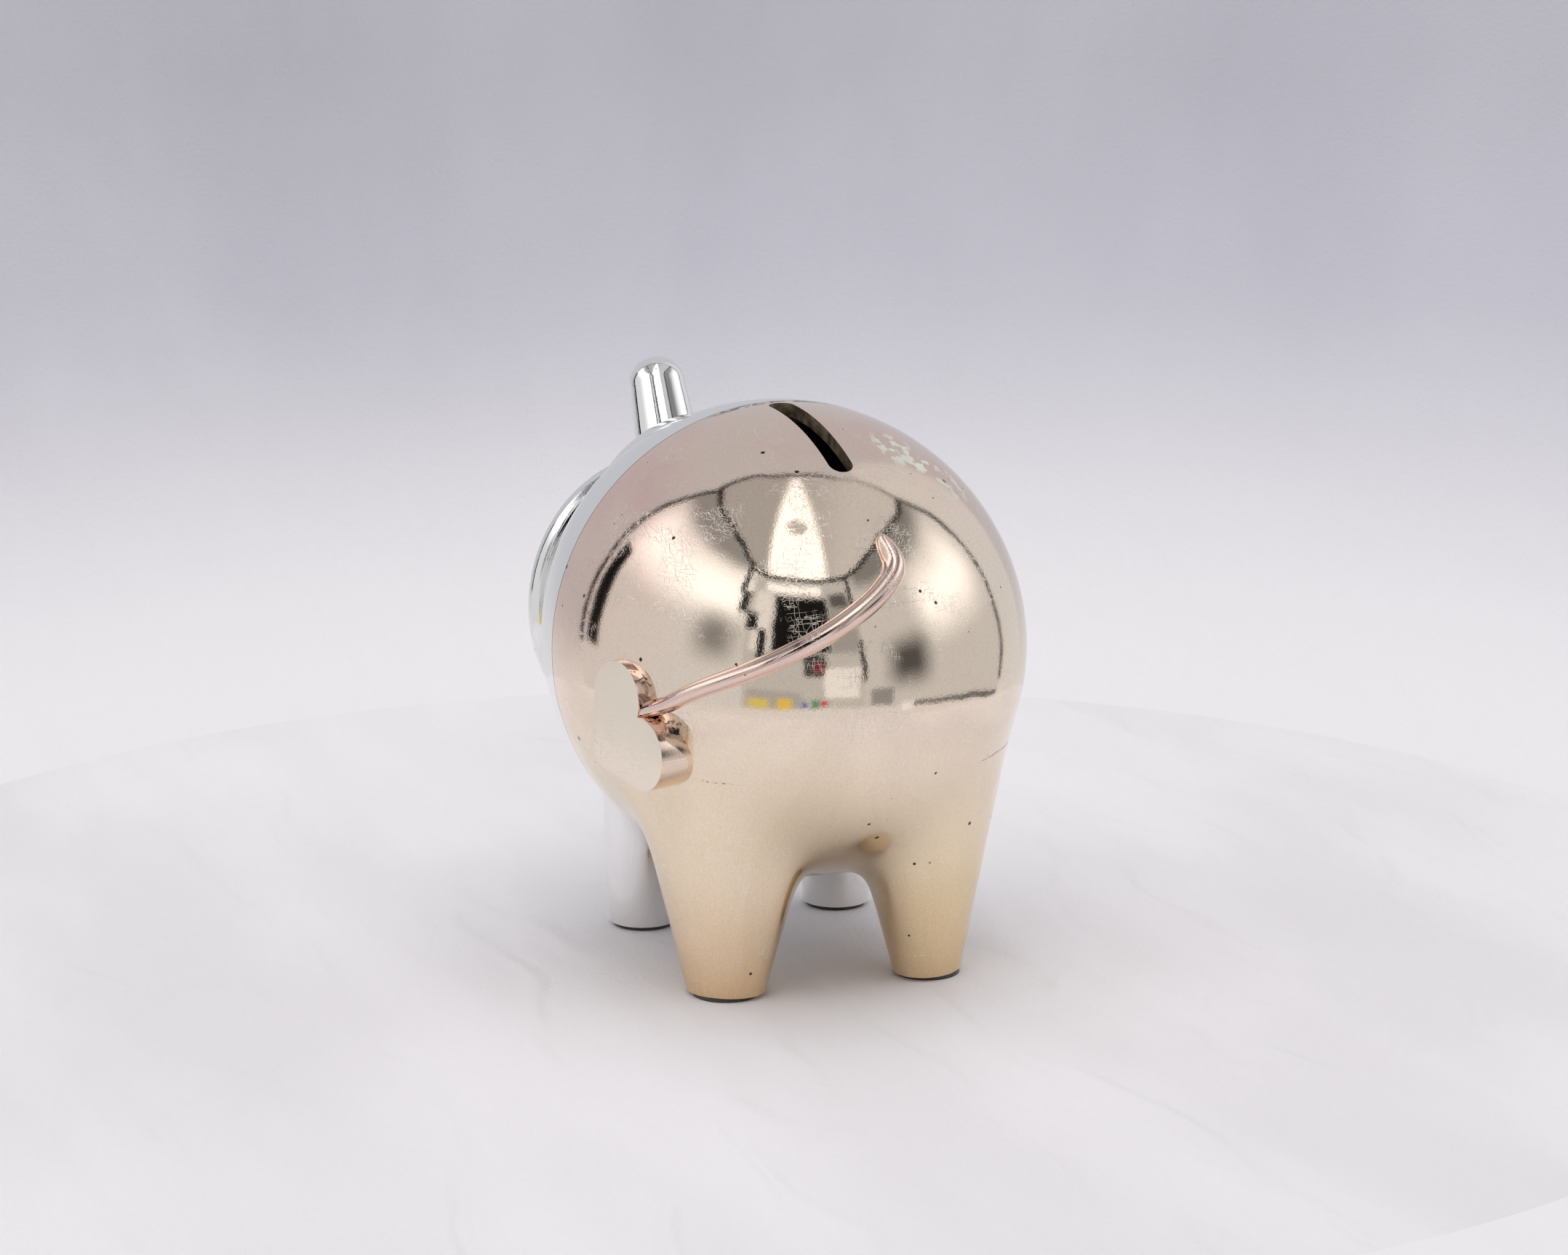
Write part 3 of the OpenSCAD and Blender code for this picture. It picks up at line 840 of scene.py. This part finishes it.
def blackRubber():
    made, tree, place = newMaterial("blackRubber")
    fine = noise(tree, place, 3000.0, 3.0)
    dusty = between(tree, noise(tree, place, 120.0, 4.0), 0.4, 0.75)
    colour = blendColour(tree, dusty, rubber["clean"], rubber["dusty"])
    bump = node(tree, "ShaderNodeBump", Strength=0.4, Distance=0.00006, Height=fine)
    rough = addShare(tree, rubber["rough"], dusty, 0.2)
    closeMaterial(tree, Base_Color=colour, Roughness=rough, Normal=bump.outputs[0])
    return made


felt = {"dark": (0.02, 0.02, 0.022, 1), "light": (0.10, 0.095, 0.09, 1), "rough": 0.95}


def darkFelt():
    made, tree, place = newMaterial("darkFelt")
    fibre = noise(tree, place, 2200.0, 6.0, 0.7)
    colour = blendColour(tree, fibre, felt["dark"], felt["light"])
    bump = node(tree, "ShaderNodeBump", Strength=0.8, Distance=0.0002, Height=fibre)
    closeMaterial(tree, Base_Color=colour, Roughness=felt["rough"], Sheen_Weight=0.3,
                  Normal=bump.outputs[0])
    return made


def paint(piece, *materials):
    piece.data.materials.clear()
    for material in materials:
        piece.data.materials.append(material)


wear = platingWearGroup()
warmMaterial = warmPlate(wear, "warmPlate", warm["champagne"])
roseMaterial = warmPlate(wear, "rosePlate", warm["rose"])
brightMaterial, satinMaterial = brightPlate(wear), satinPlate(wear)
rawMaterial, bareMaterial, feltMaterial = rawCasting(), bareMetal(), darkFelt()
enamelMaterial, rubberMaterial = eyeEnamel(), blackRubber()
print("materials ready")


dropSelection()
animal = roughAnimal()
print("whole animal", len(animal.data.vertices))
rearCasting = halfShell(animal, "rearCasting", -1)
frontCasting = halfShell(animal, "frontCasting", 1)
slotTool, bellyTool = slotCutter(), bellyCutter()
carve(rearCasting, slotTool, bellyTool)
carve(frontCasting, bellyTool)
for casting, plate, slotName, nodes in (
        (rearCasting, warmMaterial, "warm_plate", ("rear_shell", "rear_left_leg", "rear_right_leg")),
        (frontCasting, brightMaterial, "bright_plate",
         ("front_shell", "front_left_leg", "front_right_leg"))):
    dressCasting(casting, plate, rawMaterial)
    smoothShade(casting)
    trueNormals(casting, animalForm)
    finishPiece(casting, "animal", slotName, *nodes)
print("castings", len(rearCasting.data.polygons), len(frontCasting.data.polygons))

innerEgg = egg("innerEgg", -body["endsIn"])
bpy.ops.mesh.primitive_uv_sphere_add(segments=64, ring_count=32, radius=head["radius"] - body["endsIn"],
                                     location=headCentre)
innerHead = bake(bpy.context.object, "innerHead")
for side, name in ((1, "left_ear"), (-1, "right_ear")):
    earPiece = makeEar(side)
    carve(earPiece, innerEgg, innerHead)
    paint(earPiece, brightMaterial)
    smoothShade(earPiece)
    finishPiece(earPiece, "animal", "bright_plate", name)
trunkPiece = makeTrunk()
carve(trunkPiece, innerHead)
paint(trunkPiece, brightMaterial)
smoothShade(trunkPiece)
finishPiece(trunkPiece, "animal", "bright_plate", "trunk")
print("ears and trunk")

tailPiece = makeTail()
paint(tailPiece, roseMaterial)
smoothShade(tailPiece, 60)
finishPiece(tailPiece, "animal", "warm_plate", "tail")
heartPiece = makeHeart()
carve(heartPiece, innerEgg)
roundHeart(heartPiece)
paint(heartPiece, roseMaterial, satinMaterial)
faceWay = Vector((-math.cos(heart["turn"]), math.sin(heart["turn"]), 0))
for face in heartPiece.data.polygons:
    face.material_index = 1 if face.normal.dot(faceWay) > 0.995 else 0
smoothShade(heartPiece, 40)
finishPiece(heartPiece, "animal", "warm_plate", "heart_tassel")
print("tail and heart")

for side, name in ((1, "left_eye"), (-1, "right_eye")):
    eyePiece = makeEye(side)
    paint(eyePiece, enamelMaterial)
    smoothShade(eyePiece, 60)
    finishPiece(eyePiece, "animal", "eye_enamel", name)
stopperPiece = makeStopper()
paint(stopperPiece, rubberMaterial)
smoothShade(stopperPiece)
finishPiece(stopperPiece, "stopper", "black_rubber", "stopper")
for name in ("joint_ring", "stopper_seat"):
    paint(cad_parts[name], bareMaterial)
for name in ("rear_left_pad", "rear_right_pad", "front_left_pad", "front_right_pad"):
    paint(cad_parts[name], feltMaterial)
throwAway(animal, slotTool, bellyTool, innerEgg, innerHead)
print("small pieces")


# studio: a pale cloth on the table, a cloth sweep behind and a light tent that the metal reflects
studio = {"floorRadius": 0.20, "sweepRadius": 0.14, "sweepTop": 0.9, "segments": 192,
          # the darker fold colours of both cloths are painted crease shade
          "cloth": (0.90, 0.875, 0.905, 1), "foldShade": (0.83, 0.805, 0.83, 1),
          "backCloth": (0.65, 0.64, 0.71, 1), "backFoldShade": (0.61, 0.60, 0.67, 1),
          "blend": (0.0, 0.09), "ridge": 0.05, "backRidge": 0.004, "lampSize": 1.0,
          "lampHeight": 0.9, "lampPower": 3.45}


def clothMaterial(name, foldShade, cloth, seeThroughBack):
    made, tree, place = newMaterial(name)
    crease = node(tree, "ShaderNodeMapping", Vector=place, Rotation=(0, 0, 0.6), Scale=(6, 16, 6)).outputs[0]
    folds = noise(tree, crease, 1.0, 3.0, 0.45)
    weave = noise(tree, place, 900.0, 3.0)
    # the fold colour is painted into the low parts of the folds: painted crease shade
    colour = blendColour(tree, between(tree, folds, 0.35, 0.65), foldShade, cloth)
    if seeThroughBack:  # the sweep is painted lighter towards its foot, in the table cloth's colour: painted light
        height = node(tree, "ShaderNodeSeparateXYZ", Vector=place).outputs["Z"]
        colour = blendColour(tree, between(tree, height, *studio["blend"]), studio["cloth"], colour)
    ridges = sums(tree, "ABSOLUTE", sums(tree, "SUBTRACT", noise(tree, crease, 1.6, 2.0, 0.4), 0.5))
    ridges = between(tree, ridges, 0.05, 0.0)
    height = addShare(tree, folds, weave, 0.02)
    ridge = studio["backRidge"] if seeThroughBack else studio["ridge"]
    height = addShare(tree, height, ridges, ridge)
    bump = node(tree, "ShaderNodeBump", Strength=0.8, Distance=0.010, Height=height)
    shader = node(tree, "ShaderNodeBsdfPrincipled", Base_Color=colour, Roughness=0.9,
                  Normal=bump.outputs[0], Specular_IOR_Level=0.2)
    result = shader.outputs[0]
    if seeThroughBack:
        clear = node(tree, "ShaderNodeBsdfTransparent")
        back = node(tree, "ShaderNodeNewGeometry").outputs["Backfacing"]
        result = node(tree, "ShaderNodeMixShader", i0=back, i1=result, i2=clear.outputs[0]).outputs[0]
    node(tree, "ShaderNodeOutputMaterial", Surface=result)
    return made


def makeStudio():
    sides = studio["segments"]
    bpy.ops.mesh.primitive_circle_add(vertices=sides, radius=studio["floorRadius"], fill_type="NGON")
    floor = bake(bpy.context.object, "tableCloth")
    paint(floor, clothMaterial("tableCloth", studio["foldShade"], studio["cloth"], False))
    rings = [(studio["floorRadius"], 0.0)]
    bend, wide = studio["sweepRadius"], studio["floorRadius"]
    for k in range(1, 25):
        turn = math.pi / 2 * k / 24
        rings.append((wide + bend * math.sin(turn), bend * (1 - math.cos(turn))))
    rings.append((wide + bend, studio["sweepTop"]))
    verts = [(r * math.cos(2 * math.pi * i / sides), r * math.sin(2 * math.pi * i / sides), z)
             for r, z in rings for i in range(sides)]
    sweep = meshPiece("clothSweep", verts, ringFaces(len(rings), sides))
    for face in sweep.data.polygons:
        face.use_smooth = True
    wall = sweep.data.polygons[-1]
    if wall.normal.dot(wall.center) > 0:
        sweep.data.flip_normals()
    paint(sweep, clothMaterial("sweepCloth", studio["backFoldShade"], studio["backCloth"], True))
    for ray in ("visible_diffuse", "visible_glossy", "visible_transmission", "visible_shadow"):
        setattr(sweep, ray, False)
    lamp = bpy.data.objects.new("softLamp", bpy.data.lights.new("softLamp", "AREA"))
    bpy.context.collection.objects.link(lamp)
    lamp.location = (0, 0, studio["lampHeight"])
    lamp.data.size = studio["lampSize"]
    lamp.data.energy = studio["lampPower"]
    lamp.visible_camera = False
    lamp.visible_glossy = False


# the tent's ceiling starts above this edge: azimuth, elevation (degrees)
ceilingEdge = [(-180, 74), (-155, 72), (-121, 60), (-80, 62.5), (-55, 59), (-34, 50), (30, 50), (57, 56),
               (82, 57.5), (125, 49), (128, 52), (145, 67.5), (180, 74)]
# each patch: azimuth from and to, elevation from and to, softness (degrees), grey or colour, share
wallPatches = [
    (-119, -34, -18, 75, 0.8, 0.69, 1.0), (-112, -36, 26, 46, 9.0, 1.45, 0.9),
    (-58, -40, 6, 24, 8.0, 0.18, 0.85), (-119, -36, 50, 70, 4.0, 0.2, 0.8),
    (30, 125, -18, 75, 0.8, 0.62, 1.0), (72, 118, 14, 36, 11.0, 1.45, 0.9),
    (46, 69, -6, 14, 8.0, 0.06, 0.95), (34, 125, 44, 70, 5.0, 0.16, 0.85),
    (-34, 30, -18, 51, 0.8, 0.55, 1.0), (-26, 10, 43, 47, 1.5, 1.3, 0.9),
    (-19, 12.5, 13, 41, 0.8, 0.01, 1.0), (13, 29, 12, 42, 2.0, 0.34, 0.9),
    (15, 26, 36, 43, 1.5, 0.05, 0.8), (-31, -21, 12, 42, 2.0, 0.85, 0.9), (-3, 9, 0, 12, 1.2, 0.03, 0.95),
    (8, 27, -12, 4, 1.0, 0.95, 0.8), (-32, -4, -17, -8, 1.5, 0.4, 0.8),
    (-42, -38.5, 38, 52, 0.9, 0.01, 1.0), (-39, -34, 30, 40, 1.1, 0.01, 1.0),
    (-34, -28, 22, 31, 1.1, 0.01, 1.0), (-27, -23, 8, 23, 0.9, 0.01, 1.0),
    (28.5, 31, 33, 50, 0.7, 0.01, 1.0), (28.5, 31, -4, 18, 0.7, 0.01, 1.0),
    (-120, -117.3, -6, 62, 0.6, 0.01, 1.0), (-115, -108, -5, 26, 1.0, 0.008, 1.0),
    (127, 150, -14, 60, 2.0, 0.72, 0.8), (124, 126.4, -14, 60, 0.6, 0.01, 1.0),
    (54, 124, -18.4, -16.4, 0.4, 0.08, 0.9), (-31, -20, -17.5, -12.5, 0.9, (0.75, 0.6, 0.14), 0.9),
    (-16, -9, -18, -12, 0.8, (0.8, 0.58, 0.1), 0.95), (-4, -1, -17, -14, 0.5, (0.1, 0.14, 0.45), 0.9),
    (1, 5, -17.5, -13, 0.6, (0.06, 0.3, 0.16), 0.9), (5.5, 9, -17, -13.5, 0.5, (0.6, 0.04, 0.07), 0.9),
    (2.5, 8, 2, 7.5, 1.2, (0.22, 0.03, 0.04), 0.9), (34, 47, -17, -8, 0.8, 0.26, 0.9),
    (53, 60, -20, -16, 0.6, 0.95, 0.9)]
# the roof's lamp glow and vent, in shares of the roof's height: to the right, towards the opening
roof = {"dim": (0.42, 0.41, 0.41, 1), "lit": (0.60, 0.59, 0.59, 1), "glow": (1.5, 1.48, 1.46, 1),
        "glowLeft": (0.12, 0.37), "glowRight": (0.06, 0.22), "soft": 0.035,
        "vent": (0.55, 0.54, 0.53, 1), "ventRight": -0.04, "ventForward": 0.22, "ventRadius": 0.075}
tent = {"cloth": (0.55, 0.555, 0.585, 1), "table": (0.76, 0.74, 0.75, 1), "edge": (0.012, 0.012, 0.012, 1),
        "edgeWide": 0.8, "cameraSide": math.radians(159.9), "strength": 1.0}


def tentPatchGroup():
    names = ("Azimuth", "Elevation", "From Side", "To Side", "From Height", "To Height", "Soft")
    group, start, end = newGroup("tentPatch", [(name, "NodeSocketFloat") for name in names],
                                 [("Share", "NodeSocketFloat")])
    value = start.outputs
    soft = value["Soft"]
    share = 1.0
    for of, low, high in (("Azimuth", "From Side", "To Side"), ("Elevation", "From Height", "To Height")):
        rise = between(group, value[of], sums(group, "SUBTRACT", value[low], soft),
                       sums(group, "ADD", value[low], soft))
        fall = between(group, value[of], sums(group, "ADD", value[high], soft),
                       sums(group, "SUBTRACT", value[high], soft))
        share = sums(group, "MULTIPLY", share, sums(group, "MULTIPLY", rise, fall))
    group.links.new(share, end.inputs["Share"])
    return group


def makeTent():
    world = bpy.data.worlds.new("lightTent")
    bpy.context.scene.world = world
    world.use_nodes = True
    tree = world.node_tree
    tree.nodes.clear()
    way = node(tree, "ShaderNodeTexCoord").outputs["Generated"]
    turned = node(tree, "ShaderNodeMapping", {"vector_type": "POINT"}, Vector=way,
                  Rotation=(0, 0, -tent["cameraSide"])).outputs[0]
    xyz = node(tree, "ShaderNodeSeparateXYZ", Vector=turned).outputs
    azimuth = sums(tree, "MULTIPLY", sums(tree, "ARCTAN2", xyz["Y"], xyz["X"]), 180 / math.pi)
    elevation = sums(tree, "MULTIPLY", sums(tree, "ARCSINE", xyz["Z"]), 180 / math.pi)
    wave = sums(tree, "MULTIPLY", sums(tree, "SUBTRACT", noise(tree, turned, 5.0, 3.0), 0.5), 4.0)
    azimuth = sums(tree, "ADD", azimuth, wave)
    elevation = sums(tree, "ADD", elevation, sums(tree, "MULTIPLY", wave, 0.6))
    patch = tentPatchGroup()

    def lay(colour, patches):
        for fromSide, toSide, fromHeight, toHeight, soft, grey, share in patches:
            mask = node(tree, "ShaderNodeGroup", {"node_tree": patch}, Azimuth=azimuth, Elevation=elevation,
                        From_Side=fromSide, To_Side=toSide, From_Height=fromHeight,
                        To_Height=toHeight, Soft=soft)
            shade = grey if isinstance(grey, tuple) else (grey, grey, grey * 1.01)
            colour = blendColour(tree, sums(tree, "MULTIPLY", mask.outputs[0], share), colour, (*shade, 1))
        return colour

    walls = blendColour(tree, between(tree, elevation, 0.0, -19.0), tent["cloth"], tent["table"])
    walls = lay(walls, wallPatches)
    right = sums(tree, "DIVIDE", xyz["Y"], sums(tree, "MAXIMUM", xyz["Z"], 0.02))
    forward = sums(tree, "DIVIDE", xyz["X"], sums(tree, "MAXIMUM", xyz["Z"], 0.02))
    ceiling = blendColour(tree, between(tree, right, -0.1, 0.4), roof["dim"], roof["lit"])
    fromLeft = sums(tree, "ADD", sums(tree, "ADD", right, roof["glowLeft"][0]),
                    sums(tree, "MULTIPLY", forward, roof["glowLeft"][1]))
    fromRight = sums(tree, "ADD", sums(tree, "MULTIPLY", forward, roof["glowRight"][1]), roof["glowRight"][0])
    fromRight = sums(tree, "SUBTRACT", fromRight, right)
    glow = sums(tree, "MULTIPLY", between(tree, fromLeft, -roof["soft"], roof["soft"]),
                between(tree, fromRight, -roof["soft"], roof["soft"]))
    ceiling = blendColour(tree, glow, ceiling, roof["glow"])
    ventFar = sums(tree, "SQRT", sums(
        tree, "ADD", sums(tree, "POWER", sums(tree, "SUBTRACT", right, roof["ventRight"]), 2.0),
        sums(tree, "POWER", sums(tree, "SUBTRACT", forward, roof["ventForward"]), 2.0)))
    vent = between(tree, ventFar, roof["ventRadius"] * 1.15, roof["ventRadius"] * 0.85)
    ceiling = blendColour(tree, vent, ceiling, roof["vent"])
    edge = node(tree, "ShaderNodeValToRGB", i0=sums(tree, "ADD", sums(tree, "DIVIDE", azimuth, 360.0), 0.5))
    stops = edge.color_ramp.elements
    while len(stops) < len(ceilingEdge):
        stops.new(0.5)
    for stop, (side, height) in zip(stops, ceilingEdge):
        stop.position = side / 360 + 0.5
    for stop, (side, height) in zip(stops, ceilingEdge):
        stop.color = (height / 90, height / 90, height / 90, 1)
    above = sums(tree, "SUBTRACT", elevation, sums(tree, "MULTIPLY", edge.outputs[0], 90.0))
    colour = blendColour(tree, between(tree, above, -0.6, 0.6), walls, ceiling)
    line = between(tree, sums(tree, "ABSOLUTE", above), tent["edgeWide"] + 0.5, tent["edgeWide"])
    colour = blendColour(tree, sums(tree, "MULTIPLY", line, 0.93), colour, tent["edge"])
    light = node(tree, "ShaderNodeBackground", Color=colour, Strength=tent["strength"])
    node(tree, "ShaderNodeOutputWorld", Surface=light.outputs[0])


makeStudio()
makeTent()
bpy.context.scene.view_settings.view_transform = "Standard"
print("studio")


camera = {"distance": 0.81, "lift": math.radians(12.9), "round": math.radians(20.1), "sensor": 36.0,
          "lens": 36.0 * 5861 / 2156, "aimUp": 1.73 * mm, "aimRight": 0.28 * mm}


def makeCamera():
    lift, turn = camera["lift"], camera["round"]
    away = Vector((-math.cos(lift) * math.cos(turn), math.cos(lift) * math.sin(turn), math.sin(lift)))
    view = bpy.data.objects.new("camera", bpy.data.cameras.new("camera"))
    bpy.context.collection.objects.link(view)
    facing = (-away).to_track_quat("-Z", "Y")
    shift = facing @ Vector((camera["aimRight"], camera["aimUp"], 0))
    view.location = bodyCentre + away * camera["distance"]
    view.rotation_mode = "QUATERNION"
    view.rotation_quaternion = (bodyCentre + shift - view.location).to_track_quat("-Z", "Y")
    view.data.sensor_width = camera["sensor"]
    view.data.lens = camera["lens"]
    view.data.clip_start = 0.01
    view.data.dof.use_dof = False
    bpy.context.scene.camera = view


makeCamera()
print("done")
